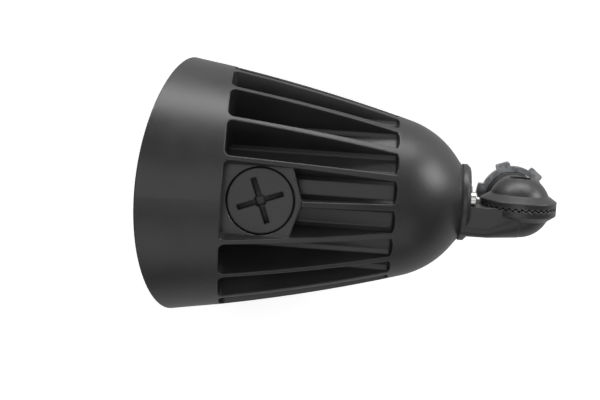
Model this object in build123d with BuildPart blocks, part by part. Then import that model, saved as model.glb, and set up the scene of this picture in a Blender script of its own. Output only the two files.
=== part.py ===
"""Bullet floodlight head on a serrated tilting knuckle with a half-inch threaded stem.

Millimetres, +Z up. The origin is on the stem's axis, where the stem's free end starts just below its gasket.
The lamp lies level, its front towards -Y, with the closing plug and the long side of the hood on top.
Stations along the lamp are counted from the seam behind the housing: in front of the seam they are negative.
"""

import math
import os

from build123d import *

# ---------------------------------------------------------------- driving sizes
# Threads: half-inch pipe thread on the stem and plug, metric screws elsewhere
pipe_thread_radius = 10.45
running_gap = 0.05
body_gap = 0.3

# Knuckle
axis_rise = 18.0
arm_reach = 23.0
joint_gap = 0.12
tooth_count = 36
tooth_depth = 0.8
tooth_width = 1.75
tooth_ring_width = 2.3
serrated_radius = 14.4
arm_disc_height = 2.7
base_disc_height = 2.5
disc_chamfer_height = 2.2
arm_ball_radius = 12.5
base_ball_radius = 12.0
arm_face_offset = 11.9
base_face_offset = 10.7
arm_half_width = 12.4
arm_edge_round = 4.0
arm_end_round = 10.6
arm_taper = 12.0
flange_radius = 14.6
flange_thickness = 3.0
flange_edge_chamfer = 1.2
flange_recess_radius = 7.6
flange_recess_depth = 1.2
recess_outer_radius = 10.0
recess_inner_radius = 5.0
recess_depth = 5.0
arm_ball_centre = -0.5
arm_duct_inner = 2.6
arm_duct_outer = 9.4
arm_duct_half_width = 5.0
base_duct_inner = -1.2
base_duct_outer = -8.2
base_duct_half_width = 4.5
base_duct_roof = 1.0
neck_radius = 10.2
collar_thickness = 3.2
collar_roof = 2.0

# Stem and locknut
stem_length = 15.5
stem_end_radius = 10.15
stem_bore_radius = 7.0
stem_chamfer = 0.9
locknut_drop = 4.0
gasket_height = 0.5
locknut_thickness = 3.4
locknut_ring_radius = 12.6
locknut_lobe_radius = 14.3
locknut_lobe_width = 5.6
locknut_lobes = 6
locknut_turned = 20.0
locknut_corner_round = 0.8
stem_gasket_thickness = 1.4
stem_gasket_radius = 12.3

# Knuckle bolt, washer and seal
bolt_radius = 2.0
bolt_depth = 8.8
bolt_head_radius = 3.8
bolt_head_height = 2.4
bolt_socket_across = 2.5
bolt_socket_depth = 1.3
bolt_seat_depth = 3.9
bolt_seat_gap = 0.55
washer_thickness = 0.8
washer_radius = 4.0
seal_width = 1.1
seal_gap = 0.05
bolt_end_gap = 0.4
bolt_head_edge = 0.8

# Bell-shaped housing
seam_radius = 14.6
neck_length = 1.0
dome_end_radius = 15.8
dome_start = -20.0
dome_start_radius = 29.6
bell_front = -126.0
bell_front_radius = 51.4
band_radius = 45.4
bell_bulge = 0.95
hood_cut_margin = 3.6
hood_top = -120.3
hood_middle = -103.75
hood_bottom = -93.9
hood_wall = 2.4
hood_root_chamfer = 2.0
fin_count = 18
fin_crest_width = 1.4
fin_root_width = 2.6
fin_crest_reference = 46.0
pocket_front = -88.1
pocket_rear = -24.9
pocket_floor_radius = 28.9
fin_root_chamfer = 1.1
pocket_front_round = 2.4
pocket_rear_run = 2.2
pocket_rear_rise = 1.1
cutter_overrun = 4.0

# Boss and closing plug on top of the housing
plug_station = -74.3
boss_height = 37.4
boss_corner_reach = 10.6
boss_tip_reach = 15.1
port_radius = 12.55
plug_head_gap = 0.4
plug_head_thickness = 3.0
plug_sunk = 0.15
plug_shank_length = 7.5
plug_shank_wall = 2.2
plug_slot_length = 17.2
plug_slot_width = 1.85
plug_slot_depth = 2.0
plug_socket_side = 3.4
plug_socket_depth = 2.5
plug_turned = 20.4
plug_seal_thickness = 1.0

# Inside of the housing
core_bore_radius = 26.2
spreader_seat = -43.0
driver_bay_radius = 21.0
driver_bay_rear = -16.0
rear_wall = 6.0
rear_wall_radius = 11.0
lead_hole_radius = 6.0

# Glass, its gasket and its ring
front_wall = 1.8
gasket_thickness = 0.7
glass_thickness = 2.6
glass_radius = 33.5
glass_gap = 0.3
ring_thickness = 1.2
ring_inner_radius = 31.2
ring_outer_radius = 37.6
ring_screw_circle = 35.7
ring_screw_count = 3
ring_screws_turned = 90.0
ring_screw_radius = 1.25
ring_screw_head_radius = 1.75
ring_screw_head_height = 1.1
ring_screw_length = 4.0

# Light engine
spreader_thickness = 4.0
spreader_screw_circle = 23.4
spreader_screw_count = 3
spreader_screws_turned = 30.0
spreader_screw_length = 6.0
pad_thickness = 0.5
pad_radius = 19.0
board_radius = 20.0
board_thickness = 1.6
board_screw_circle = 15.0
board_screw_length = 3.0
chip_side = 13.5
chip_base_thickness = 0.9
chip_light_radius = 4.8
chip_light_height = 0.4
reflector_gap = 0.76
reflector_neck_radius = 8.0
reflector_wall = 0.9
reflector_stages = 3
reflector_flange_radius = 29.2
driver_length = 22.0
driver_radius = 19.5
driver_edge_chamfer = 1.5
lead_radius = 0.8
lead_spread = 3.0
lead_offset = 17.0
lead_pad_offset = 13.4
lead_rise = 2.2
lead_gap = 0.4

# Screws through the knuckle's flange
flange_gasket_thickness = 0.7
flange_gasket_width = 1.9
flange_gasket_inset = 0.35
flange_screw_spread = 10.2
flange_screw_offset = 2.8
small_screw_radius = 1.5
small_screw_head_radius = 2.6
small_screw_head_height = 2.3
flange_screw_bite = 4.2
screw_head_edge = 0.5
cross_recess_width = 0.7
cross_recess_depth = 0.8
plain_edge = 0.3

# ---------------------------------------------------------------- sizes that follow
locknut_seat = gasket_height + stem_gasket_thickness
shoulder_height = locknut_seat + locknut_thickness + locknut_drop
stem_bottom = shoulder_height - stem_length
axis_height = shoulder_height + axis_rise
fin_pitch = 360 / fin_count
small_hole_radius = small_screw_radius + running_gap
hood_cut_reach = bell_front_radius + hood_cut_margin
lamp_side = Plane(origin=(0, -arm_reach, axis_height), x_dir=(0, 1, 0), z_dir=(1, 0, 0))
lamp_axis = Axis((0, -arm_reach, axis_height), (0, 1, 0))
pivot_side = Plane(origin=(0, 0, axis_height), x_dir=(1, 0, 0), z_dir=(0, -1, 0))
pivot_axis = Axis((0, 0, axis_height), (1, 0, 0))
arm_joint_face = joint_gap / 2
base_joint_face = -joint_gap / 2
arm_thickness = arm_face_offset - arm_joint_face
glass_seat = pocket_front - front_wall
glass_back = glass_seat - gasket_thickness
glass_front = glass_back - glass_thickness
board_back = spreader_seat - spreader_thickness - pad_thickness
board_front = board_back - board_thickness
light_station = board_front - chip_base_thickness - chip_light_height
flange_front = flange_gasket_thickness
flange_rear = flange_front + flange_thickness
plug_head_radius = port_radius - plug_head_gap
plug_face = boss_height - plug_sunk
port_floor = plug_face - plug_head_thickness - plug_seal_thickness
tooth_inner_radius = serrated_radius - tooth_ring_width
seal_middle = (tooth_inner_radius + recess_outer_radius) / 2
arm_bolt_end = arm_joint_face + bolt_depth
bolt_seat = bolt_seat_depth - base_face_offset
bolt_head_seat = bolt_seat - washer_thickness
ring_front = glass_front - ring_thickness
flange_screw_places = [(-flange_screw_offset, side * flange_screw_spread) for side in (1, -1)]


def station(distance, outward=0.0):
    """Plane square to the lamp's axis, facing forward, with +Y upward in the sketch."""
    return Plane(origin=(0, distance - arm_reach, axis_height + outward), x_dir=(1, 0, 0), z_dir=(0, -1, 0))


def level(height):
    """Level plane at a height above the lamp's axis, over the closing plug."""
    return Plane(origin=(0, plug_station - arm_reach, axis_height + height))


def across(distance):
    """Plane square to the knuckle's pivot axis, facing +X, with the sketch's x along +Y."""
    return Plane(origin=(distance, 0, axis_height), x_dir=(0, 1, 0), z_dir=(1, 0, 0))


def band_radius_at(distance):
    """Outside radius of the plain band and hood at a station in front of the pockets."""
    slope = (bell_front_radius - band_radius) / (pocket_front - bell_front)
    return band_radius + slope * (pocket_front - distance)


os.makedirs("parts", exist_ok=True)

# ---------------------------------------------------------------- housing
# One pocket between two fins, in a frame with the lamp's axis along Z and the front upward.
half_pitch = math.radians(fin_pitch / 2)


def fin_side(distance):
    """Point on a fin's side at a distance from the lamp's axis, for the pocket that opens along +Y."""
    share = (distance - pocket_floor_radius) / (fin_crest_reference - pocket_floor_radius)
    half_width = (fin_root_width + (fin_crest_width - fin_root_width) * share) / 2
    side = distance * math.sin(half_pitch) - half_width * math.cos(half_pitch)
    return side, distance * math.cos(half_pitch) + half_width * math.sin(half_pitch)


floor_side = fin_side(pocket_floor_radius)
outer_side = fin_side(bell_front_radius + cutter_overrun)

with BuildPart() as pocket_cutter:
    with BuildSketch(Plane.XY.offset(-pocket_rear)) as pocket_section:
        with BuildLine() as pocket_outline:
            Polyline(
                (-floor_side[0], floor_side[1]),
                floor_side,
                outer_side,
                (-outer_side[0], outer_side[1]),
                close=True,
            )
        make_face()
        chamfer(pocket_section.vertices().group_by(Axis.Y)[0], fin_root_chamfer)
    extrude(amount=pocket_rear - pocket_front)
    front_corners = pocket_cutter.faces().sort_by(Axis.Z)[-1].edges().sort_by(Axis.Y)[-3:-1]
    rear_floor = pocket_cutter.faces().sort_by(Axis.Z)[0].edges().sort_by(Axis.Y)[:3]
    fillet(front_corners, pocket_front_round)
    chamfer(rear_floor, pocket_rear_run, pocket_rear_rise)

# Boss for the closing plug: it fills the space between two fins, and ends in a point on the middle one.
boss_half_width = boss_height * math.tan(2 * half_pitch)
with BuildPart() as plug_boss:
    with BuildSketch(station(plug_station + boss_tip_reach)) as boss_section:
        Polygon((0, 0), (boss_half_width, boss_height), (-boss_half_width, boss_height), align=None)
    extrude(amount=boss_tip_reach + plug_station - pocket_front + front_wall)
    with BuildSketch(level(0)) as boss_plan:
        with BuildLine():
            Polyline(
                (-boss_half_width - 1, pocket_front - plug_station - front_wall),
                (boss_half_width + 1, pocket_front - plug_station - front_wall),
                (boss_half_width + 1, boss_corner_reach),
                (0, boss_tip_reach),
                (-boss_half_width - 1, boss_corner_reach),
                close=True,
            )
        make_face()
    extrude(amount=boss_height, mode=Mode.INTERSECT)

with BuildPart() as housing:
    # Bell: a slow curve from the hood to the dome, and a tighter one round the dome to the neck
    with BuildSketch(lamp_side):
        with BuildLine():
            Line((bell_front, bell_front_radius), (pocket_front, band_radius))
            bell_curve = SagittaArc((pocket_front, band_radius), (dome_start, dome_start_radius), bell_bulge)
            dome_curve = TangentArc(
                (dome_start, dome_start_radius), (-neck_length, dome_end_radius), tangent=bell_curve % 1
            )
            bell_mouth = [(bell_front, 0), (bell_front, bell_front_radius)]
            Polyline(dome_curve @ 1, (0, seam_radius), (0, 0), *bell_mouth)
        make_face()
    revolve(axis=lamp_axis)
    # Pockets, which leave the fins standing
    with Locations(station(0).location):
        with PolarLocations(0, fin_count, start_angle=fin_pitch / 2):
            add(pocket_cutter.part, mode=Mode.SUBTRACT)
    # Boss, with the middle fin and the band cut back to its face
    with BuildSketch(level(boss_height)):
        with Locations((0, pocket_front - plug_station)):
            Rectangle(
                2 * (boss_half_width - fin_crest_width),
                boss_tip_reach + plug_station - pocket_front,
                align=(Align.CENTER, Align.MIN),
            )
    extrude(amount=bell_front_radius - boss_height, mode=Mode.SUBTRACT)
    add(plug_boss.part)
    # Inside: hood, seat of the glass, reflector bore, seat of the heat spreader, driver bay
    hood_back = band_radius_at(glass_front) - hood_wall
    hood_mouth = bell_front_radius - hood_wall
    with BuildSketch(lamp_side) as inside:
        with BuildLine():
            Polyline(
                (bell_front, hood_mouth),
                (glass_front, hood_back),
                (glass_front, glass_radius + glass_gap),
                (glass_seat, glass_radius + glass_gap),
                (glass_seat, core_bore_radius),
                (spreader_seat, core_bore_radius),
                (spreader_seat, driver_bay_radius),
                (driver_bay_rear, driver_bay_radius),
                (-rear_wall, rear_wall_radius),
                (-rear_wall, 0),
                (bell_front, 0),
                (bell_front, hood_mouth),
            )
        make_face()
        chamfer(inside.vertices().sort_by_distance((glass_front, hood_back))[0], hood_root_chamfer)
    revolve(axis=lamp_axis, mode=Mode.SUBTRACT)
    # Mouth of the hood, long above and short below on one slow curve
    with BuildSketch(lamp_side):
        with BuildLine():
            lower_end = (hood_bottom, -hood_cut_reach)
            upper_end = (hood_top, hood_cut_reach)
            ThreePointArc(lower_end, (hood_middle, 0), upper_end)
            Polyline(upper_end, (bell_front, hood_cut_reach), (bell_front, -hood_cut_reach), lower_end)
        make_face()
    extrude(amount=hood_cut_reach, both=True, mode=Mode.SUBTRACT)
    # Port for the plug
    with BuildSketch(level(port_floor)):
        Circle(port_radius)
    extrude(amount=boss_height - port_floor + 2 * cutter_overrun, mode=Mode.SUBTRACT)
    with BuildSketch(level(core_bore_radius - cutter_overrun)):
        Circle(pipe_thread_radius + running_gap)
    extrude(amount=port_floor - core_bore_radius + cutter_overrun, mode=Mode.SUBTRACT)
    # Hole for the leads and screw holes in the rear wall
    with BuildSketch(station(0)):
        Circle(lead_hole_radius)
    extrude(amount=rear_wall, mode=Mode.SUBTRACT)
    with BuildSketch(station(0)):
        with Locations(*flange_screw_places):
            Circle(small_hole_radius)
    extrude(amount=flange_screw_bite + body_gap, mode=Mode.SUBTRACT)
    # Screw holes for the glass ring and the heat spreader
    with BuildSketch(station(glass_front)):
        with PolarLocations(ring_screw_circle, ring_screw_count, start_angle=ring_screws_turned):
            Circle(ring_screw_radius + running_gap)
    extrude(amount=-ring_screw_length - body_gap, mode=Mode.SUBTRACT)
    with BuildSketch(station(spreader_seat)):
        with PolarLocations(spreader_screw_circle, spreader_screw_count, start_angle=spreader_screws_turned):
            Circle(small_hole_radius)
    extrude(amount=-spreader_screw_length - body_gap, mode=Mode.SUBTRACT)
housing.part.label = "housing"
export_step(housing.part, "parts/housing.step")


# ---------------------------------------------------------------- screws
def pan_screw(
    shank_radius, shank_length, head_radius=small_screw_head_radius, head_height=small_screw_head_height
):
    """Pan-head screw along Z with a cross recess, the seat of its head at the origin."""
    with BuildPart() as screw:
        with BuildSketch(Plane.XY.offset(-shank_length)):
            Circle(shank_radius)
        extrude(amount=shank_length)
        with BuildSketch(Plane.XY):
            Circle(head_radius)
        extrude(amount=head_height)
        chamfer(screw.edges().sort_by(Axis.Z)[-1], min(screw_head_edge, head_height / 2))
        with BuildSketch(Plane.XY.offset(head_height)):
            Rectangle(head_radius, cross_recess_width)
            Rectangle(cross_recess_width, head_radius)
        extrude(amount=-min(cross_recess_depth, head_height * 0.6), mode=Mode.SUBTRACT)
    return screw.part


def facing_front(distance, places):
    """Locations at places on the plane at a station, with Z towards the lamp's front."""
    return [station(distance).location * Location((x, y, 0)) for x, y in places]


def ring_places(radius, count, start):
    """Points spaced evenly round the lamp's axis."""
    angles = [math.radians(start + 360 * i / count) for i in range(count)]
    return [(radius * math.cos(a), radius * math.sin(a)) for a in angles]


ring_screw_places = ring_places(ring_screw_circle, ring_screw_count, ring_screws_turned)
spreader_screw_places = ring_places(spreader_screw_circle, spreader_screw_count, spreader_screws_turned)

# ---------------------------------------------------------------- glass, gasket, ring and its screws
with BuildPart() as lens_gasket:
    with BuildSketch(station(glass_seat)):
        Circle(glass_radius)
        Circle(reflector_flange_radius + glass_gap, mode=Mode.SUBTRACT)
    extrude(amount=gasket_thickness)
lens_gasket.part.label = "lens_gasket"
export_step(lens_gasket.part, "parts/lens_gasket.step")

with BuildPart() as lens:
    with BuildSketch(station(glass_back)):
        Circle(glass_radius)
    extrude(amount=glass_thickness)
    chamfer(lens.edges().filter_by(GeomType.CIRCLE), plain_edge)
lens.part.label = "lens"
export_step(lens.part, "parts/lens.step")

with BuildPart() as lens_ring:
    with BuildSketch(station(glass_front)):
        Circle(ring_outer_radius)
        Circle(ring_inner_radius, mode=Mode.SUBTRACT)
        with Locations(*ring_screw_places):
            Circle(ring_screw_radius + running_gap, mode=Mode.SUBTRACT)
    extrude(amount=ring_thickness)
    chamfer(lens_ring.faces().sort_by(Axis.Y)[0].edges().sort_by(SortBy.LENGTH)[-2:], plain_edge)
lens_ring.part.label = "lens_ring"
export_step(lens_ring.part, "parts/lens_ring.step")

ring_screw_total = ring_screw_length + ring_thickness
ring_screw = pan_screw(ring_screw_radius, ring_screw_total, ring_screw_head_radius, ring_screw_head_height)
with BuildPart() as lens_ring_screws:
    with Locations(*facing_front(ring_front, ring_screw_places)):
        add(ring_screw)
lens_ring_screws.part.label = "lens_ring_screws"
export_step(lens_ring_screws.part, "parts/lens_ring_screws.step")

# ---------------------------------------------------------------- light engine
lead_slot_height = 2 * (lead_radius + lead_gap)
board_screw_places = [(board_screw_circle, 0), (-board_screw_circle, 0)]

with BuildPart() as heat_spreader:
    with BuildSketch(station(spreader_seat)):
        Circle(core_bore_radius - body_gap)
        with Locations(*spreader_screw_places, *board_screw_places):
            Circle(small_hole_radius, mode=Mode.SUBTRACT)
        with Locations((0, -lead_offset)):
            SlotCenterToCenter(lead_spread, lead_slot_height, mode=Mode.SUBTRACT)
    extrude(amount=spreader_thickness)
heat_spreader.part.label = "heat_spreader"
export_step(heat_spreader.part, "parts/heat_spreader.step")

spreader_front = spreader_seat - spreader_thickness
spreader_screw_total = spreader_screw_length + spreader_thickness
spreader_screw = pan_screw(small_screw_radius, spreader_screw_total)
with BuildPart() as spreader_screws:
    with Locations(*facing_front(spreader_front, spreader_screw_places)):
        add(spreader_screw)
spreader_screws.part.label = "spreader_screws"
export_step(spreader_screws.part, "parts/spreader_screws.step")


def board_layer(back, radius, thickness):
    """Flat round layer on the heat spreader with holes for the board's screws and the leads."""
    with BuildPart() as layer:
        with BuildSketch(station(back)):
            Circle(radius)
            with Locations(*board_screw_places):
                Circle(small_hole_radius, mode=Mode.SUBTRACT)
            with Locations((0, -lead_offset)):
                SlotCenterToCenter(lead_spread, lead_slot_height, mode=Mode.SUBTRACT)
        extrude(amount=thickness)
    return layer


thermal_pad = board_layer(spreader_front, pad_radius, pad_thickness)
thermal_pad.part.label = "thermal_pad"
export_step(thermal_pad.part, "parts/thermal_pad.step")

led_board = board_layer(board_back, board_radius, board_thickness)
led_board.part.label = "led_board"
export_step(led_board.part, "parts/led_board.step")

board_screw_total = board_screw_length + board_thickness + pad_thickness
board_screw = pan_screw(small_screw_radius, board_screw_total)
with BuildPart() as board_screws:
    with Locations(*facing_front(board_front, board_screw_places)):
        add(board_screw)
board_screws.part.label = "board_screws"
export_step(board_screws.part, "parts/board_screws.step")

with BuildPart() as led_substrate:
    with BuildSketch(station(board_front)):
        Rectangle(chip_side, chip_side)
    extrude(amount=chip_base_thickness)
led_substrate.part.label = "led_substrate"
export_step(led_substrate.part, "parts/led_substrate.step")

with BuildPart() as led_emitter:
    with BuildSketch(station(board_front - chip_base_thickness)):
        Circle(chip_light_radius)
    extrude(amount=chip_light_height)
led_emitter.part.label = "led_emitter"
export_step(led_emitter.part, "parts/led_emitter.step")

# Spun reflector: short cones between rings that lie on a parabola with its focus on the emitter.
# The focal length follows from the mouth, which clears the bore around it.
reflector_mouth_radius = core_bore_radius - reflector_wall - reflector_gap
reflector_depth = light_station - glass_seat
reflector_focus = (math.hypot(reflector_depth, reflector_mouth_radius) - reflector_depth) / 2
reflector_apex = light_station + reflector_focus
reflector_neck = reflector_apex - reflector_neck_radius**2 / (4 * reflector_focus)
reflector_step = (glass_seat - reflector_neck) / reflector_stages


def reflector_point(stage, outward):
    """Point of the reflector's section at a ring, counted from the neck, at a distance outside the mirror."""
    distance = reflector_neck + stage * reflector_step
    return distance, math.sqrt(4 * reflector_focus * (reflector_apex - distance)) + outward


with BuildPart() as reflector:
    with BuildSketch(lamp_side):
        with BuildLine():
            mirror_side = [reflector_point(stage, 0) for stage in range(reflector_stages + 1)]
            rear_side = [reflector_point(stage, reflector_wall) for stage in range(reflector_stages + 1)]
            flange_end = (glass_back, reflector_flange_radius)
            flange_foot = (glass_seat, reflector_flange_radius)
            mouth = (glass_back, mirror_side[-1][1])
            Polyline(*mirror_side, mouth, flange_end, flange_foot, *reversed(rear_side), close=True)
        make_face()
    revolve(axis=lamp_axis)
reflector.part.label = "reflector"
export_step(reflector.part, "parts/reflector.step")

with BuildPart() as driver_case:
    with BuildSketch(station(spreader_seat + driver_length)):
        Circle(driver_radius)
    extrude(amount=driver_length)
    chamfer(driver_case.edges().sort_by(Axis.Y)[-1], driver_edge_chamfer)
driver_case.part.label = "driver_case"
export_step(driver_case.part, "parts/driver_case.step")

lead_turn = board_front - lead_rise
with BuildPart() as led_leads:
    for side in (-lead_spread / 2, lead_spread / 2):
        with BuildLine(lamp_side.offset(side)) as lead_route:
            Polyline(
                (spreader_seat, -lead_offset),
                (lead_turn, -lead_offset),
                (lead_turn, -lead_pad_offset),
                (board_front, -lead_pad_offset),
            )
        with BuildSketch(Plane(origin=lead_route.line @ 0, z_dir=lead_route.line % 0)):
            Circle(lead_radius)
        sweep(path=lead_route.line, transition=Transition.RIGHT)
led_leads.part.label = "led_leads"
export_step(led_leads.part, "parts/led_leads.step")

# ---------------------------------------------------------------- closing plug and its seal
with BuildPart() as plug_seal:
    with BuildSketch(level(port_floor)):
        Circle(plug_head_radius)
        Circle(pipe_thread_radius + running_gap, mode=Mode.SUBTRACT)
    extrude(amount=plug_seal_thickness)
plug_seal.part.label = "plug_seal"
export_step(plug_seal.part, "parts/plug_seal.step")

with BuildPart() as plug:
    with BuildSketch(level(plug_face)):
        Circle(plug_head_radius)
    extrude(amount=-plug_head_thickness)
    chamfer(plug.edges().sort_by(Axis.Z)[-1], plain_edge)
    with BuildSketch(level(plug_face - plug_head_thickness)):
        Circle(pipe_thread_radius)
        Circle(pipe_thread_radius - plug_shank_wall, mode=Mode.SUBTRACT)
    extrude(amount=-plug_shank_length)
    with BuildSketch(level(plug_face)):
        Rectangle(plug_slot_length, plug_slot_width, rotation=plug_turned)
        Rectangle(plug_slot_width, plug_slot_length, rotation=plug_turned)
    extrude(amount=-plug_slot_depth, mode=Mode.SUBTRACT)
    with BuildSketch(level(plug_face)):
        Rectangle(plug_socket_side, plug_socket_side, rotation=plug_turned)
    extrude(amount=-plug_socket_depth, mode=Mode.SUBTRACT)
plug.part.label = "plug"
export_step(plug.part, "parts/plug.step")

# ---------------------------------------------------------------- knuckle: the half on the lamp


def ball_radius_at(distance, centre, radius):
    """Radius of a ball on the pivot axis at a distance along that axis."""
    return math.sqrt(radius**2 - (distance - centre) ** 2)


def half_profile(face, disc_side, centre, radius, outer_face):
    """Half section of a knuckle half, from its joint face out: disc, chamfer, ball and flat end."""
    chamfer_end = disc_side + math.copysign(disc_chamfer_height, disc_side - face)
    middle = (chamfer_end + outer_face) / 2
    Polyline(
        (outer_face, ball_radius_at(outer_face, centre, radius)),
        (outer_face, 0),
        (face, 0),
        (face, serrated_radius),
        (disc_side, serrated_radius),
        (chamfer_end, ball_radius_at(chamfer_end, centre, radius)),
    )
    ThreePointArc(
        (chamfer_end, ball_radius_at(chamfer_end, centre, radius)),
        (middle, ball_radius_at(middle, centre, radius)),
        (outer_face, ball_radius_at(outer_face, centre, radius)),
    )


# One groove between two teeth, pointing along X with the joint face at Z = 0
with BuildPart() as tooth_groove:
    with BuildSketch(Plane.YZ.offset(tooth_inner_radius)):
        Polygon(
            (-tooth_width / 2, 0),
            (0, -tooth_depth),
            (tooth_width / 2, 0),
            (tooth_width / 2, tooth_depth),
            (-tooth_width / 2, tooth_depth),
            align=None,
        )
    extrude(amount=tooth_ring_width + tooth_depth)
arm_face_plane = Plane(origin=(arm_joint_face, 0, axis_height), x_dir=(0, 1, 0), z_dir=(-1, 0, 0))
base_face_plane = Plane(origin=(base_joint_face, 0, axis_height), x_dir=(0, 1, 0), z_dir=(1, 0, 0))
tooth_pitch = 360 / tooth_count

with BuildPart() as knuckle_arm:
    # Flange against the housing, and the straight arm
    with BuildSketch(station(flange_rear)):
        Circle(flange_radius)
    extrude(amount=flange_thickness)
    chamfer(knuckle_arm.edges().sort_by(Axis.Y)[-1], flange_edge_chamfer)
    with BuildSketch(station(flange_front)) as arm_root:
        with Locations((arm_joint_face, 0)):
            Rectangle(arm_thickness, 2 * arm_half_width, align=(Align.MIN, Align.CENTER))
        fillet(arm_root.vertices().group_by(Axis.X)[-1], arm_edge_round)
    extrude(amount=arm_taper + flange_front - arm_reach)
    for distance, corner_round in ((arm_reach - arm_taper, arm_edge_round), (arm_reach, arm_end_round)):
        with BuildSketch(station(distance)) as arm_section:
            with Locations((arm_joint_face, 0)):
                Rectangle(arm_thickness, 2 * arm_half_width, align=(Align.MIN, Align.CENTER))
            fillet(arm_section.vertices().group_by(Axis.X)[-1], corner_round)
    loft()
    # Serrated disc and ball round the pivot
    with BuildSketch(pivot_side):
        with BuildLine():
            half_profile(arm_joint_face, arm_disc_height, arm_ball_centre, arm_ball_radius, arm_face_offset)
        make_face()
    revolve(axis=pivot_axis)
    with Locations(arm_face_plane.location):
        with PolarLocations(0, tooth_count, start_angle=tooth_pitch / 2):
            add(tooth_groove.part, mode=Mode.SUBTRACT)
    # Way for the leads, from the housing round the bolt
    with BuildSketch(across(arm_joint_face)):
        Circle(recess_outer_radius)
        Circle(recess_inner_radius, mode=Mode.SUBTRACT)
    extrude(amount=recess_depth, mode=Mode.SUBTRACT)
    with BuildSketch(station(flange_front)):
        with Locations(((arm_duct_inner + arm_duct_outer) / 2, 0)):
            Rectangle(arm_duct_outer - arm_duct_inner, 2 * arm_duct_half_width)
    extrude(amount=recess_inner_radius + flange_front - arm_reach + running_gap, mode=Mode.SUBTRACT)
    with BuildSketch(station(flange_front)):
        Circle(flange_recess_radius)
    extrude(amount=-flange_recess_depth, mode=Mode.SUBTRACT)
    # Holes for the bolt and the flange screws
    with BuildSketch(across(arm_joint_face)):
        Circle(bolt_radius + running_gap)
    extrude(amount=bolt_depth, mode=Mode.SUBTRACT)
    with BuildSketch(station(flange_front)):
        with Locations(*flange_screw_places):
            Circle(small_hole_radius)
    extrude(amount=-flange_thickness, mode=Mode.SUBTRACT)
knuckle_arm.part.label = "knuckle_arm"
export_step(knuckle_arm.part, "parts/knuckle_arm.step")

with BuildPart() as flange_gasket:
    with BuildSketch(station(flange_front)):
        Circle(flange_radius - flange_gasket_inset)
        Circle(flange_radius - flange_gasket_inset - flange_gasket_width, mode=Mode.SUBTRACT)
    extrude(amount=flange_gasket_thickness)
flange_gasket.part.label = "flange_gasket"
export_step(flange_gasket.part, "parts/flange_gasket.step")

flange_screw = pan_screw(small_screw_radius, flange_rear + flange_screw_bite)
flange_screw_seat = (0, flange_rear - arm_reach, axis_height)
flange_screw_plane = Plane(origin=flange_screw_seat, x_dir=(-1, 0, 0), z_dir=(0, 1, 0))
with BuildPart() as flange_screws:
    with Locations(*[flange_screw_plane.location * Location((-x, y, 0)) for x, y in flange_screw_places]):
        add(flange_screw)
flange_screws.part.label = "flange_screws"
export_step(flange_screws.part, "parts/flange_screws.step")

# ---------------------------------------------------------------- knuckle: the half with the stem
with BuildPart() as knuckle_base:
    # Neck under the ball, cut flat over the collar where the arm swings
    with BuildSketch(Plane.XY.offset(shoulder_height)):
        Circle(neck_radius)
    extrude(amount=axis_rise)
    with BuildSketch(Plane.XY.offset(shoulder_height + collar_thickness)):
        with Locations((base_joint_face, 0)):
            Rectangle(2 * neck_radius, 2 * neck_radius, align=(Align.MIN, Align.CENTER))
    extrude(amount=axis_rise, mode=Mode.SUBTRACT)
    # Serrated disc and ball round the pivot
    with BuildSketch(pivot_side):
        with BuildLine():
            half_profile(base_joint_face, -base_disc_height, 0, base_ball_radius, -base_face_offset)
        make_face()
    revolve(axis=pivot_axis)
    with Locations(base_face_plane.location):
        with PolarLocations(0, tooth_count):
            add(tooth_groove.part, mode=Mode.SUBTRACT)
    # Threaded stem, thinner at its free end like its tapered thread
    with BuildSketch(Plane.XY):
        Circle(pipe_thread_radius)
    extrude(amount=shoulder_height)
    with BuildSketch(Plane.XY.offset(stem_bottom)):
        Circle(stem_end_radius)
    extrude(amount=-stem_bottom)
    chamfer(knuckle_base.edges().sort_by(Axis.Z)[0], stem_chamfer)
    # Way for the leads: round the bolt, down a duct and through the stem
    with BuildSketch(across(base_joint_face)):
        Circle(recess_outer_radius)
        Circle(recess_inner_radius, mode=Mode.SUBTRACT)
    extrude(amount=-recess_depth, mode=Mode.SUBTRACT)
    with BuildSketch(Plane.XY.offset(shoulder_height)):
        with Locations(((base_duct_inner + base_duct_outer) / 2, 0)):
            Rectangle(base_duct_inner - base_duct_outer, 2 * base_duct_half_width)
    extrude(amount=axis_rise - recess_inner_radius - base_duct_roof, mode=Mode.SUBTRACT)
    with BuildSketch(Plane.XY.offset(stem_bottom)):
        Circle(stem_bore_radius)
    extrude(amount=stem_length + collar_thickness - collar_roof, mode=Mode.SUBTRACT)
    # Groove for the seal, seat for the bolt's head, hole for the bolt
    with BuildSketch(across(base_joint_face)):
        Circle(seal_middle + seal_width / 2 + seal_gap)
        Circle(seal_middle - seal_width / 2 - seal_gap, mode=Mode.SUBTRACT)
    extrude(amount=-seal_width, mode=Mode.SUBTRACT)
    with BuildSketch(across(-base_face_offset)):
        Circle(bolt_head_radius + bolt_seat_gap)
    extrude(amount=bolt_seat_depth, mode=Mode.SUBTRACT)
    with BuildSketch(across(bolt_seat)):
        Circle(bolt_radius + running_gap)
    extrude(amount=base_joint_face - bolt_seat, mode=Mode.SUBTRACT)
knuckle_base.part.label = "knuckle_base"
export_step(knuckle_base.part, "parts/knuckle_base.step")

with BuildPart() as knuckle_seal:
    with BuildSketch(across(base_joint_face)):
        Circle(seal_middle + seal_width / 2)
        Circle(seal_middle - seal_width / 2, mode=Mode.SUBTRACT)
    extrude(amount=-seal_width)
knuckle_seal.part.label = "knuckle_seal"
export_step(knuckle_seal.part, "parts/knuckle_seal.step")

# ---------------------------------------------------------------- pivot bolt and washer
with BuildPart() as bolt_washer:
    with BuildSketch(across(bolt_seat)):
        Circle(washer_radius)
        Circle(bolt_radius + running_gap, mode=Mode.SUBTRACT)
    extrude(amount=-washer_thickness)
bolt_washer.part.label = "bolt_washer"
export_step(bolt_washer.part, "parts/bolt_washer.step")

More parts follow.
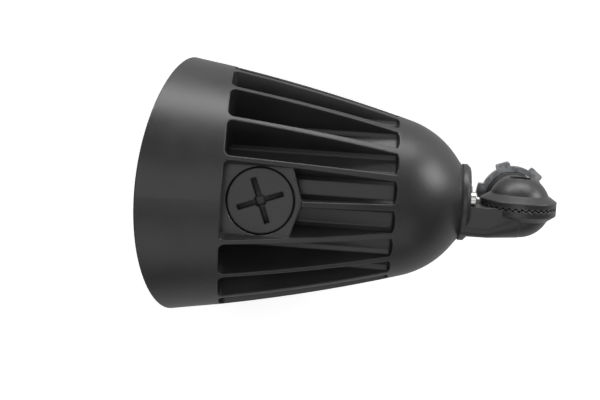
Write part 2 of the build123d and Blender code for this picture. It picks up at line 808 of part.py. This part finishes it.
with BuildPart() as knuckle_bolt:
    with BuildSketch(across(bolt_head_seat)):
        Circle(bolt_head_radius)
    extrude(amount=-bolt_head_height)
    chamfer(knuckle_bolt.edges().sort_by(Axis.X)[0], bolt_head_edge)
    with BuildSketch(across(bolt_head_seat - bolt_head_height)):
        RegularPolygon(bolt_socket_across / 2, 6, major_radius=False)
    extrude(amount=bolt_socket_depth, mode=Mode.SUBTRACT)
    with BuildSketch(across(bolt_head_seat)):
        Circle(bolt_radius)
    extrude(amount=arm_bolt_end - bolt_end_gap - bolt_head_seat)
knuckle_bolt.part.label = "knuckle_bolt"
export_step(knuckle_bolt.part, "parts/knuckle_bolt.step")

# ---------------------------------------------------------------- locknut and gasket on the stem
with BuildPart() as locknut:
    with BuildSketch(Plane.XY.offset(locknut_seat)):
        Circle(locknut_ring_radius)
        with PolarLocations(0, locknut_lobes, start_angle=locknut_turned):
            Rectangle(locknut_lobe_radius, locknut_lobe_width, align=(Align.MIN, Align.CENTER))
        Circle(pipe_thread_radius + running_gap, mode=Mode.SUBTRACT)
    extrude(amount=locknut_thickness)
    uprights = locknut.edges().filter_by(Axis.Z).sort_by_distance((0, 0, locknut_seat))
    fillet(uprights[-2 * locknut_lobes:], locknut_corner_round)
locknut.part.label = "locknut"
export_step(locknut.part, "parts/locknut.step")

with BuildPart() as stem_gasket:
    with BuildSketch(Plane.XY.offset(gasket_height)):
        Circle(stem_gasket_radius)
        Circle(pipe_thread_radius + running_gap, mode=Mode.SUBTRACT)
    extrude(amount=stem_gasket_thickness)
stem_gasket.part.label = "stem_gasket"
export_step(stem_gasket.part, "parts/stem_gasket.step")
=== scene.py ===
# %% [markdown]
# # The looks of a bullet floodlight head
#
# The lamp is a black die-cast head that tilts on a serrated knuckle. Its solids come from the
# packed frame, already in metres and in place, so nothing here moves or reshapes them. This
# script gives each one its finish, cuts real threads on the stem and the closing plug, and sets
# up a pale studio with the camera above the lamp.

import math

import bmesh
import bpy
from mathutils import Matrix, Vector


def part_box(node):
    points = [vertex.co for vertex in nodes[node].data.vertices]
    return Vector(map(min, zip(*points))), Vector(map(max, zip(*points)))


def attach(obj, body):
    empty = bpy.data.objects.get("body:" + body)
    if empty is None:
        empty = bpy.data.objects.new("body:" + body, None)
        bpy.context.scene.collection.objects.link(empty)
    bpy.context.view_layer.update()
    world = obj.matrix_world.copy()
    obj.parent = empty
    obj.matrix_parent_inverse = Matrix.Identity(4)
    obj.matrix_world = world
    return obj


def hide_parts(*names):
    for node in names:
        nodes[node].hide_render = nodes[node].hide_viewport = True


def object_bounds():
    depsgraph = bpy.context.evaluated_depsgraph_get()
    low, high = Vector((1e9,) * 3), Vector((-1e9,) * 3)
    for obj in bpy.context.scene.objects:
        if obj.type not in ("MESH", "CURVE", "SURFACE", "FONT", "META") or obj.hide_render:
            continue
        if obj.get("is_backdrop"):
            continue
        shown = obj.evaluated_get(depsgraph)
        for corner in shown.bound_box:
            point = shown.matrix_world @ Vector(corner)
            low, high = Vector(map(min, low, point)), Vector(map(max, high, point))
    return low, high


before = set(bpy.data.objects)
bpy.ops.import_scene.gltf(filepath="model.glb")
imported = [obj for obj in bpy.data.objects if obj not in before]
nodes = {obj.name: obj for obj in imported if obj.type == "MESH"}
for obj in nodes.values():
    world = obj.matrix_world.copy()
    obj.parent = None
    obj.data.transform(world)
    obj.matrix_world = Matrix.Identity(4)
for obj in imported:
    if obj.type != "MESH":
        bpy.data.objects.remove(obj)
cad_low, cad_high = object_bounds()
MM = 0.001
print("nodes:", len(nodes), "box in mm:", [round(side / MM, 1) for side in cad_high - cad_low])

# %% [markdown]
# ## Places worked out from the frame
#
# The stem stands on the Z axis and the knuckle turns on a line along X. The lamp's own axis runs
# along Y at the same height, through the middle of the round glass. The plug's axis is vertical,
# through the middle of its round head. Taking both from the boxes of the solids keeps this script
# in step with them if a size changes.

# %% Axes
base_low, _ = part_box("knuckle_base")
_, nut_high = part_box("locknut")
plug_low, plug_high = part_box("plug")
glass_low, glass_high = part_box("lens")
pivot_height = (glass_low.z + glass_high.z) / 2
plug_axis = Vector(((plug_low.x + plug_high.x) / 2, (plug_low.y + plug_high.y) / 2, 0))
print("pivot height:", round(pivot_height / MM, 2), "mm")
print("plug axis:", [round(c / MM, 2) for c in plug_axis], "mm")

# %% [markdown]
# ## Writing shader maths as plain sums
#
# Every finish below varies a little over its surface, which takes many small Math nodes. They
# could be added and linked one by one. Here a `Value` wraps the output socket of a node instead,
# so that `a * 0.3 + b` adds the nodes that work it out, and the sum can be read.


# %% A value that varies over a surface
class Value:
    """The output socket of a shader node, used in sums like a number."""

    def __init__(self, look, socket):
        self.look = look
        self.socket = socket

    def math(self, operation, *others):
        """The result of a math node on this value and the others."""
        return self.look.node("ShaderNodeMath", {"operation": operation}, self, *others)

    def __add__(self, other):
        return self.math("ADD", other)

    def __sub__(self, other):
        return self.math("SUBTRACT", other)

    def __mul__(self, other):
        return self.math("MULTIPLY", other)

    def __rsub__(self, other):
        return self * -1 + other

    __radd__ = __add__
    __rmul__ = __mul__

    def between(self, low, high):
        """0 below low, 1 above high, and smooth in between."""
        settings = {"interpolation_type": "SMOOTHSTEP"}
        range_ends = {"From_Min": low, "From_Max": high}
        return self.look.node("ShaderNodeMapRange", settings, Value=self, **range_ends)


print("values can be added, subtracted, multiplied and ranged")

# %% [markdown]
# ## One helper for every material
#
# `Look` is one material while it is being made. Its method `node` adds a node of any type, with
# its settings first and its sockets after them. The other methods are the ones that several
# finishes share: noise, mixed colours, rounded edges, dark crevices and bumps.


# %% A material under construction
class Look:
    """A material with its main shader and the nodes that feed it."""

    # Rays that a bevel or occlusion node sends out at each point
    ray_count = 6
    # How far the rounded normal turns, as 1 less its cosine, where an edge starts and is full
    edge_range = (0.01, 0.25)
    # The open share of the view from a point, in a deep crevice and on an open face
    open_range = (0.15, 0.85)

    def __init__(self, name, settings):
        self.material = bpy.data.materials.new(name)
        self.material.use_nodes = True
        self.tree = self.material.node_tree
        self.shader = self.tree.nodes["Principled BSDF"]
        self.surface = self.tree.nodes["Material Output"].inputs["Surface"]
        self.feed(self.shader, settings)

    def feed(self, node, values):
        """Sets or links a node's input sockets, named or numbered."""
        for key, value in values.items():
            socket = node.inputs[key]
            if isinstance(value, Value):
                self.tree.links.new(value.socket, socket)
            else:
                socket.default_value = value

    def node(self, kind, settings, *sockets, output=0, **named):
        """Adds a node of any type and returns one of its outputs."""
        node = self.tree.nodes.new(kind)
        for key, value in settings.items():
            setattr(node, key, value)
        self.feed(node, dict(enumerate(sockets)))
        self.feed(node, {key.replace("_", " "): value for key, value in named.items()})
        return Value(self, node.outputs[output])

    def place(self):
        """The point of the surface in the row frame, in metres."""
        return self.node("ShaderNodeTexCoord", {}, output="Object")

    def noise(self, grain_size, detail=2.0):
        """Soft noise from 0 to 1 with grains of about that size in metres."""
        sockets = {"Vector": self.place(), "Scale": 1 / grain_size, "Detail": detail}
        return self.node("ShaderNodeTexNoise", {}, **sockets)

    def mix(self, share, first, second):
        """A colour that goes from first to second as share goes from 0 to 1."""
        # A Mix node has sockets for each kind of value, and these are the ones for colours
        share_socket, first_socket, second_socket, mixed_socket = 0, 6, 7, 2
        node = self.tree.nodes.new("ShaderNodeMix")
        node.data_type = "RGBA"
        self.feed(node, {share_socket: share, first_socket: first, second_socket: second})
        return Value(self, node.outputs[mixed_socket])

    def rounded(self, radius):
        """The surface's normal, turned near edges as if they were rounded."""
        return self.node("ShaderNodeBevel", {"samples": self.ray_count}, Radius=radius)

    def edge(self, radius):
        """0 on open faces, rising towards 1 on edges."""
        flat = self.node("ShaderNodeNewGeometry", {}, output="Normal")
        turned = self.rounded(radius)
        settings = {"operation": "DOT_PRODUCT"}
        cosine = self.node("ShaderNodeVectorMath", settings, turned, flat, output="Value")
        return (1 - cosine).between(*self.edge_range)

    def crevice(self, reach):
        """0 on open faces, rising towards 1 in slots and pockets narrower than the reach."""
        settings = {"samples": self.ray_count}
        open_share = self.node("ShaderNodeAmbientOcclusion", settings, Distance=reach, output="AO")
        return 1 - open_share.between(*self.open_range)

    def bump(self, height, distance, strength=1.0, normal=None):
        """A normal bumped by a height from 0 to 1, over a distance in metres."""
        sockets = {"Strength": strength, "Distance": distance, "Height": height}
        if normal:
            sockets["Normal"] = normal
        return self.node("ShaderNodeBump", {}, **sockets)

    def finish(self, **varying):
        """Feeds the main shader and returns the material."""
        self.feed(self.shader, {key.replace("_", " "): value for key, value in varying.items()})
        return self.material


def colour(red, green, blue):
    """An opaque colour."""
    return (red, green, blue, 1.0)


def grey(level):
    """A neutral opaque colour."""
    return colour(level, level, level)


helpers = [name for name, part in vars(Look).items() if callable(part) and name[0] != "_"]
print("helpers of a look:", *helpers)

# %% [markdown]
# ## The powder coat
#
# The castings are sprayed with black powder that melts into a satin coat with a fine orange peel.
# Three things could be drawn for it: its grain, its wear and its dust. Noise gives the grain and
# the dull patches. The edges are painted paler and made smoother, partly as wear where the coat is
# thin and partly as a painted highlight. Narrow crevices are painted near black as shade, and are
# duller. All of it comes from the shape itself, so it stays right when the shape changes.


# %% Powder coat
def powder_coat():
    """Satin black powder coat on the castings."""
    grain_size, patch_size = 0.45 * MM, 18 * MM
    edge_round, crevice_reach = 0.8 * MM, 3 * MM
    # The fourth grey paints edges paler, partly as wear and partly as a painted highlight, and the
    # last is a near-black painted shade for crevices
    clean, dusty, speck, wear_and_highlight_grey, painted_shade = map(grey, (0.016, 0.024, 0.045, 0.085, 0.003))
    most_speckled, most_worn_and_highlit = 0.35, 0.6
    satin, swing, crevice_dulling = 0.30, 0.08, 0.5
    peel_depth, peel_strength = 0.05 * MM, 0.5

    look = Look("powder_coat", {"IOR": 1.5, "Specular IOR Level": 0.5})
    grain = look.noise(grain_size, detail=3)
    patches = look.noise(patch_size, detail=3)
    edge = look.edge(edge_round)
    patchy = look.mix(patches.between(0.35, 0.7), clean, dusty)
    speckled = look.mix(grain.between(0.55, 0.75) * most_speckled, patchy, speck)
    # Edges are painted paler, partly as wear and partly as a painted highlight
    worn_and_highlit = look.mix(edge * most_worn_and_highlit, speckled, wear_and_highlight_grey)
    crevice = look.crevice(crevice_reach)
    # Narrow crevices are painted near black as shade
    shaded = look.mix(crevice, worn_and_highlit, painted_shade)
    wear = patches * swing + grain * swing - edge * swing
    roughness = satin + wear + crevice * crevice_dulling
    normal = look.bump(grain, peel_depth, peel_strength, look.rounded(edge_round))
    return look.finish(Base_Color=shaded, Roughness=roughness, Normal=normal)


coat = powder_coat()
print("made", coat.name)

# %% [markdown]
# ## Rubber, plastics and the thermal pad
#
# Gaskets, the driver's case, the pad, the board and its ceramic are moulded or pressed pieces
# without a metal's shine. Each could have a recipe of its own, but on the real lamp they differ
# mostly in colour, dullness and grain. So one recipe serves them all: a colour with soft
# blotches, a dull surface and a fine grain.


# %% Moulded pieces
def moulded(name, dark, light, roughness, grain_size, depth):
    """A dull material between two colours, with a grain of that size and depth."""
    blotch_size, edge_round = 9 * MM, 0.15 * MM
    grain_swing, blotch_swing, grain_strength = 0.12, 0.1, 0.6

    look = Look(name, {"IOR": 1.48})
    grain = look.noise(grain_size, detail=3)
    blotches = look.noise(blotch_size)
    blotched = look.mix(blotches.between(0.3, 0.7), dark, light)
    dull = roughness + (grain - 0.5) * grain_swing + (blotches - 0.5) * blotch_swing
    normal = look.bump(grain, depth, grain_strength, look.rounded(edge_round))
    return look.finish(Base_Color=blotched, Roughness=dull, Normal=normal)


rubber = moulded(
    "black_rubber",
    dark=grey(0.012),
    light=grey(0.022),
    roughness=0.72,
    grain_size=0.3 * MM,
    depth=0.03 * MM,
)
driver_plastic = moulded(
    "driver_case",
    dark=grey(0.02),
    light=grey(0.035),
    roughness=0.5,
    grain_size=0.5 * MM,
    depth=0.04 * MM,
)
pad_rubber = moulded(
    "thermal_pad",
    dark=colour(0.16, 0.18, 0.21),
    light=colour(0.22, 0.24, 0.27),
    roughness=0.8,
    grain_size=0.4 * MM,
    depth=0.04 * MM,
)
solder_mask = moulded(
    "board_mask",
    dark=colour(0.62, 0.62, 0.58),
    light=colour(0.72, 0.72, 0.68),
    roughness=0.35,
    grain_size=0.8 * MM,
    depth=0.01 * MM,
)
ceramic = moulded(
    "ceramic",
    dark=colour(0.66, 0.65, 0.61),
    light=colour(0.74, 0.73, 0.69),
    roughness=0.55,
    grain_size=0.2 * MM,
    depth=0.01 * MM,
)
print("made", rubber.name, driver_plastic.name, pad_rubber.name, solder_mask.name, ceramic.name)

# %% [markdown]
# ## Bare metals
#
# The screws are stainless, the nut is pressed steel with a dull zinc plate, the spreader is
# turned aluminium and the glass's ring is anodised black. Scratches could be modelled, but they
# are far too fine. A noise that is stretched along one direction roughens the metal instead, slow
# blotches tint it, and the rounded edges catch the light.


# %% Bare metals
def bare_metal(name, dark, light, roughness, spread, scratch_stretch=(1, 1, 8)):
    """A metal between two colours. The noise runs faster along the axes with a large stretch."""
    scratches_per_metre, blotch_size, edge_round = 900.0, 2.5 * MM, 0.2 * MM
    scratch_depth, scratch_strength = 0.008 * MM, 0.5

    look = Look(name, {"Metallic": 1.0})
    multiply = {"operation": "MULTIPLY"}
    stretched = look.node("ShaderNodeVectorMath", multiply, look.place(), scratch_stretch)
    sockets = {"Vector": stretched, "Scale": scratches_per_metre, "Detail": 3.0}
    streaks = look.node("ShaderNodeTexNoise", {}, **sockets)
    blotches = look.noise(blotch_size, detail=3)
    blotched = look.mix(blotches.between(0.3, 0.7), dark, light)
    rough = roughness + (streaks - 0.5) * spread + (blotches - 0.5) * spread
    normal = look.bump(streaks, scratch_depth, scratch_strength, look.rounded(edge_round))
    return look.finish(Base_Color=blotched, Roughness=rough, Normal=normal)


stainless = bare_metal(
    "stainless",
    dark=colour(0.56, 0.55, 0.53),
    light=colour(0.68, 0.67, 0.65),
    roughness=0.32,
    spread=0.16,
)
zinc = bare_metal(
    "zinc_plate",
    dark=colour(0.17, 0.17, 0.18),
    light=colour(0.40, 0.41, 0.42),
    roughness=0.40,
    spread=0.28,
    scratch_stretch=(3, 3, 3),
)
turned = bare_metal(
    "turned_aluminium",
    dark=colour(0.60, 0.61, 0.62),
    light=colour(0.72, 0.73, 0.74),
    roughness=0.34,
    spread=0.14,
    scratch_stretch=(1, 14, 1),
)
anodised = bare_metal(
    "anodised_black",
    dark=colour(0.020, 0.020, 0.022),
    light=colour(0.032, 0.032, 0.034),
    roughness=0.38,
    spread=0.1,
)
print("made", stainless.name, zinc.name, turned.name, anodised.name)

# %% [markdown]
# ## The spun mirror
#
# The reflector is spun from aluminium sheet and polished, and the tool leaves fine rings in it.
# Cutting them into the mesh would take a very fine one. They follow the lamp's axis, so a sine of
# the distance along Y draws them as a bump.


# %% Spun mirror
def spun_mirror():
    """Polished aluminium with the spinning tool's rings."""
    ring_pitch, ring_depth, ring_strength = 0.7 * MM, 0.006 * MM, 0.4
    haze_size, polish, haze_dulling = 12 * MM, 0.05, 0.09

    look = Look("spun_mirror", {"Metallic": 1.0})
    along = look.node("ShaderNodeSeparateXYZ", {}, look.place(), output="Y")
    rings = (along * (2 * math.pi / ring_pitch)).math("SINE") * 0.5 + 0.5
    haze = look.noise(haze_size)
    silver = look.mix(haze, colour(0.80, 0.81, 0.82), colour(0.90, 0.91, 0.92))
    normal = look.bump(rings, ring_depth, ring_strength)
    return look.finish(Base_Color=silver, Roughness=polish + haze * haze_dulling, Normal=normal)


mirror = spun_mirror()
print("made", mirror.name)

# %% [markdown]
# ## Glass
#
# The pane is clear toughened glass with a faint green cast and a film of dust. Glass that bends
# light properly also blocks the lamps' shadow rays, which would leave the reflector dark. So a
# shadow ray passes straight through a tinted, transparent shader, and every other ray meets real
# glass.


# %% Glass
def clear_glass():
    """Clear glass with a film of dust, which lets light through to the reflector."""
    film_size, clean_roughness, film_roughness = 14 * MM, 0.01, 0.07

    look = Look("clear_glass", {"IOR": 1.52, "Transmission Weight": 1.0})
    film = look.noise(film_size, detail=4)
    tinted = look.mix(film, colour(0.90, 0.95, 0.93), colour(0.96, 0.98, 0.97))
    roughness = clean_roughness + film.between(0.45, 0.8) * film_roughness
    look.finish(Base_Color=tinted, Roughness=roughness)
    straight = look.node("ShaderNodeBsdfTransparent", {}, colour(0.93, 0.96, 0.95))
    shadow_ray = look.node("ShaderNodeLightPath", {}, output="Is Shadow Ray")
    main = Value(look, look.shader.outputs[0])
    both = look.node("ShaderNodeMixShader", {}, shadow_ray, main, straight)
    look.tree.links.new(both.socket, look.surface)
    return look.material


glass = clear_glass()
print("made", glass.name)

# %% [markdown]
# ## Light source
#
# The emitter is yellow phosphor under clear silicone, with rows of tiny dies beneath. The dies
# are too small to model and only show as cells of a slightly different yellow, so a Voronoi
# pattern draws them. A coat stands for the silicone.


# %% Emitter
def phosphor():
    """Yellow phosphor under clear silicone."""
    dies_per_metre = 1100.0
    roughness, roughness_swing = 0.3, 0.2
    coat_weight, coat_swing = 0.6, 0.3

    look = Look("phosphor", {"IOR": 1.41, "Coat Roughness": 0.05})
    sockets = {"Vector": look.place(), "Scale": dies_per_metre}
    dies = look.node("ShaderNodeTexVoronoi", {}, output="Distance", **sockets)
    yellow = look.mix(dies.between(0.1, 0.5), colour(0.72, 0.50, 0.05), colour(0.86, 0.66, 0.12))
    return look.finish(
        Base_Color=yellow,
        Roughness=roughness + dies * roughness_swing,
        Coat_Weight=coat_weight + dies * coat_swing,
    )


emitter = phosphor()
print("made", emitter.name)

# %% [markdown]
# ## Wires
#
# The two wires from the driver to the board are one node, so they share one material. The lamp's
# middle plane runs between them. The side towards +X is red and the other is black.


# %% Wires
def wire_pair():
    """Silicone wires, red towards +X and black towards -X."""
    half_seam, grain_size, grain_depth = 0.2 * MM, 0.6 * MM, 0.02 * MM
    roughness, roughness_swing = 0.4, 0.15

    look = Look("silicone_wires", {"IOR": 1.45})
    across = look.node("ShaderNodeSeparateXYZ", {}, look.place(), output="X")
    grain = look.noise(grain_size)
    side = across.between(-half_seam, half_seam)
    insulation = look.mix(side, grey(0.015), colour(0.36, 0.02, 0.015))
    return look.finish(
        Base_Color=insulation,
        Roughness=roughness + grain * roughness_swing,
        Normal=look.bump(grain, grain_depth),
    )


wires = wire_pair()
print("made", wires.name)

# %% [markdown]
# ## Dressing the solids
#
# Each node takes one finish. Its faces are shaded smooth, because a casting's curves show no
# facets, with a sharp line wherever two faces meet at a real corner.

# %% Finishes by node
finishes = {
    "housing": coat,
    "knuckle_arm": coat,
    "knuckle_base": coat,
    "plug": coat,
    "lens": glass,
    "lens_gasket": rubber,
    "lens_ring": anodised,
    "lens_ring_screws": stainless,
    "reflector": mirror,
    "led_board": solder_mask,
    "led_substrate": ceramic,
    "led_emitter": emitter,
    "board_screws": stainless,
    "thermal_pad": pad_rubber,
    "heat_spreader": turned,
    "spreader_screws": stainless,
    "driver_case": driver_plastic,
    "led_leads": wires,
    "flange_gasket": rubber,
    "flange_screws": stainless,
    "plug_seal": rubber,
    "knuckle_seal": rubber,
    "bolt_washer": stainless,
    "knuckle_bolt": stainless,
    "stem_gasket": rubber,
    "locknut": zinc,
}
smallest_corner = math.radians(24)


def dress(obj, finish):
    """Gives an object its one material and smooth shading up to real corners."""
    obj.data.materials.clear()
    obj.data.materials.append(finish)
    obj.data.shade_smooth()
    obj.data.set_sharp_from_angle(angle=smallest_corner)


for name, finish in finishes.items():
    dress(nodes[name], finish)
print("dressed", len(finishes), "of", len(nodes), "nodes")

# %% [markdown]
# ## Threads
#
# The stem and the plug screw in with half-inch pipe threads. Their solids have plain shanks at
# the thread's outer radius, which is all that a fit needs. A bump would leave a thread's outline
# smooth, so the thread is real geometry: a copy of each piece has its shank turned down to the
# root, and one ridge wound round it as a helix that fades out at both ends. The stem's thread
# tapers, so its ridge is lower at the free end.

# %% Helical ridge
inch = 25.4 * MM
threads_per_inch = 14
pipe_pitch = inch / threads_per_inch
thread_depth = 0.64 * pipe_pitch
steps_per_turn = 48
# The ridge's section: along the axis in pitches, and out from the root in thread depths
ridge_section = ((-0.42, -0.15), (-0.07, 1.0), (0.07, 1.0), (0.42, -0.15))


def ridge(mesh, axis, low, high, low_radius, high_radius):
    """Adds a closed helical ridge round a vertical axis, between two heights and crest radii."""
    count = int((high - low - pipe_pitch) / pipe_pitch * steps_per_turn)
    fade = steps_per_turn // 2
    loops = []
    for step in range(count + 1):
        angle = 2 * math.pi * step / steps_per_turn
        height = low + pipe_pitch / 2 + pipe_pitch * step / steps_per_turn
        root = low_radius + (high_radius - low_radius) * step / count - thread_depth
        tall = min(1, step / fade, (count - step) / fade)
        loop = []
        for rise, reach in ridge_section:
            radius = root + thread_depth * (reach * tall if reach > 0 else reach)
            out = Vector((math.cos(angle), math.sin(angle), 0)) * radius
            loop.append(mesh.verts.new(axis + out + Vector((0, 0, height + rise * pipe_pitch))))
        loops.append(loop)
    for first, second in zip(loops, loops[1:]):
        for i in range(len(ridge_section)):
            j = (i + 1) % len(ridge_section)
            mesh.faces.new((first[i], first[j], second[j], second[i]))
    mesh.faces.new(reversed(loops[0]))
    mesh.faces.new(loops[-1])


print("thread: pitch", round(pipe_pitch / MM, 3), "mm, depth", round(thread_depth / MM, 3), "mm")

# %% [markdown]
# ## A threaded copy of a piece
#
# The plain solid stays as it is, and its threaded copy stands for it in the picture. The copy
# rides on the same body, so it turns with its joint.

# %% Threaded copy
# How near to the shank's ends and radius a point must be to count as one of the shank's
end_slack = 0.1 * MM
radius_slack = 0.03 * MM
deepest_on_shank = 0.95 * MM
# Length without a ridge at each end
plain_end = 0.4 * MM


def turn_down(mesh, axis, low, high, low_radius, high_radius):
    """Brings the shank's points in to the thread's root."""
    for vertex in mesh.verts:
        offset = Vector((vertex.co.x - axis.x, vertex.co.y - axis.y, 0))
        on_shank = low_radius - deepest_on_shank < offset.length < high_radius + radius_slack
        if on_shank and low - end_slack < vertex.co.z < high + end_slack:
            share = (vertex.co.z - low) / (high - low)
            root = low_radius + (high_radius - low_radius) * share - thread_depth
            vertex.co -= offset.normalized() * (offset.length - min(offset.length, root))


def threaded_copy(node, body, axis, low, high, low_radius, high_radius):
    """A copy of a node with a real thread on its plain shank, which stands for the node."""
    mesh = bmesh.new()
    mesh.from_mesh(nodes[node].data)
    turn_down(mesh, axis, low, high, low_radius, high_radius)
    ridge(mesh, axis, low + plain_end, high - plain_end, low_radius, high_radius)
    bmesh.ops.recalc_face_normals(mesh, faces=mesh.faces)
    data = bpy.data.meshes.new(node + "_threaded")
    mesh.to_mesh(data)
    mesh.free()
    copy = bpy.data.objects.new(node + "_threaded", data)
    bpy.context.collection.objects.link(copy)
    dress(copy, finishes[node])
    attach(copy, body)
    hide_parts(node)
    print(copy.name, len(data.polygons), "faces")


# %% Threaded stem and plug
pipe_radius = 10.45 * MM
free_end_radius = 10.15 * MM
thread_above_nut = 4.0 * MM
plug_head_height = 3.0 * MM
stem_axis = Vector((0, 0, 0))
stem_span = (base_low.z, nut_high.z + thread_above_nut)
plug_span = (plug_low.z, plug_high.z - plug_head_height)
threaded_copy("knuckle_base", "base", stem_axis, *stem_span, free_end_radius, pipe_radius)
threaded_copy("plug", "plug", plug_axis, *plug_span, pipe_radius, pipe_radius)

# %% [markdown]
# ## Floor
#
# The photograph is cut out on pure white. More light would wash out the lamp, so the floor adds a
# glow of its own, which only the camera sees, straight or through the glass. It renders nearly
# white, and the lamp's shadow still darkens it. The floor lies just under the lamp.

# %% Floor
floor_gap = 0.5 * MM
floor_reach = 6.0
floor_glow = 0.62
floor_level = cad_low.z - floor_gap
corner_signs = ((-1, -1), (1, -1), (1, 1), (-1, 1))
floor_corners = [(x * floor_reach, y * floor_reach, 0) for x, y in corner_signs]
floor_mesh = bpy.data.meshes.new("floor")
floor_mesh.from_pydata(floor_corners, [], [(0, 1, 2, 3)])
floor = bpy.data.objects.new("floor", floor_mesh)
floor.location.z = floor_level
bpy.context.collection.objects.link(floor)
floor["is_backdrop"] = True


def seen_directly(look):
    """1 for rays from the camera, straight or through glass, and 0 for rays that light things."""
    straight = look.node("ShaderNodeLightPath", {}, output="Is Camera Ray")
    through_glass = look.node("ShaderNodeLightPath", {}, output="Is Transmission Ray")
    return straight.math("MAXIMUM", through_glass)


matt_pale = {"Base Color": grey(0.8), "Roughness": 0.9, "Specular IOR Level": 0.1}
floor_look = Look("pale_floor", {**matt_pale, "Emission Strength": 1.0})
glow = seen_directly(floor_look) * floor_glow
floor_look.finish(Emission_Color=floor_look.node("ShaderNodeCombineColor", {}, glow, glow, glow))
floor_mesh.materials.append(floor_look.material)
print("floor at", round(floor_level / MM, 2), "mm")

# %% [markdown]
# ## World
#
# Past the floor's edge the camera sees the world, which is pure white to it. To everything else
# the world is a dim even light, so that the soft boxes model the shape.

# %% World
ambient = 0.16
white = 1.0
world = bpy.data.worlds.new("pale_world")
world.use_nodes = True
bpy.context.scene.world = world
background = world.node_tree.nodes["Background"]
background.inputs["Color"].default_value = grey(white)
light_path = world.node_tree.nodes.new("ShaderNodeLightPath")
strength = world.node_tree.nodes.new("ShaderNodeMapRange")
strength.inputs["To Min"].default_value = ambient
strength.inputs["To Max"].default_value = white
world.node_tree.links.new(light_path.outputs["Is Camera Ray"], strength.inputs["Value"])
world.node_tree.links.new(strength.outputs[0], background.inputs["Strength"])
print("ambient light", ambient)

# %% [markdown]
# ## Lights
#
# In the photograph a broad soft band runs along the bell, on the side that is the top of the
# picture. One small lamp would make a hard glint there, so the lights are large soft boxes. The
# long key makes the band, a small one beyond the knuckle lights the dome and the knuckle, a broad
# one overhead fills the pockets, and a weaker one lights the other side.


# %% Soft boxes
def soft_box(name, place, width, depth, power):
    """A rectangular area light at a place, facing the lamp's middle. Metres and watts."""
    data = bpy.data.lights.new(name, "AREA")
    data.shape = "RECTANGLE"
    data.size = width
    data.size_y = depth
    data.energy = power
    light = bpy.data.objects.new(name, data)
    light.location = place
    light.rotation_euler = (Vector(place) - lamp_middle).to_track_quat("Z", "Y").to_euler()
    bpy.context.collection.objects.link(light)
    return light


lamp_middle = Vector((0.0, -0.08, pivot_height))
key = soft_box("key", (-0.64, -0.10, 0.11), width=0.9, depth=0.26, power=5.2)
rear = soft_box("rear", (-0.32, 0.50, 0.16), width=0.3, depth=0.3, power=2.2)
overhead = soft_box("overhead", (-0.05, -0.1, 0.95), width=0.6, depth=0.6, power=1.8)
side = soft_box("side", (0.6, 0.0, 0.55), width=0.9, depth=0.6, power=1.6)
print("lights:", key.name, rear.name, overhead.name, side.name)

# %% [markdown]
# ## Camera
#
# The photograph looks down at the lamp from above its plug, from so far off that near and far
# parts differ little in size. The picture's right is nearly the way to the stem, and the lamp's
# axis tips a little. The camera could be placed by hand. Here its place follows from a point near
# the lamp's middle, a direction and a distance, which were fitted to the photograph's outline.

# %% Camera
aim = Vector((3.56, -83.22, 28.19)) * MM
towards_camera = Vector((-0.1329, 0.0067, 0.9911))
picture_right = Vector((-0.0695, 0.9975, -0.0161))
distance = 650.2 * MM
sensor_width_in_mm = 36.0
focal_length_in_mm = 102.2
picture_up = towards_camera.cross(picture_right)
turn = Matrix((picture_right, picture_up, towards_camera)).transposed()
camera_data = bpy.data.cameras.new("camera")
camera_data.sensor_width = sensor_width_in_mm
camera_data.lens = focal_length_in_mm
camera = bpy.data.objects.new("camera", camera_data)
camera.matrix_world = Matrix.Translation(aim + towards_camera * distance) @ turn.to_4x4()
bpy.context.collection.objects.link(camera)
bpy.context.scene.camera = camera
bpy.context.scene.view_settings.view_transform = "Standard"
print("camera at", [round(c, 3) for c in camera.location])

# %% [markdown]
# ## Size and finish
#
# The dressed lamp must stay inside the box of the solids, so the script prints how much each side
# of the dressed lamp's box grew over the box of the solids.

low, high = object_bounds()
growth = [round(side / MM, 3) for side in (high - low) - (cad_high - cad_low)]
print("sides grew by", growth, "mm")
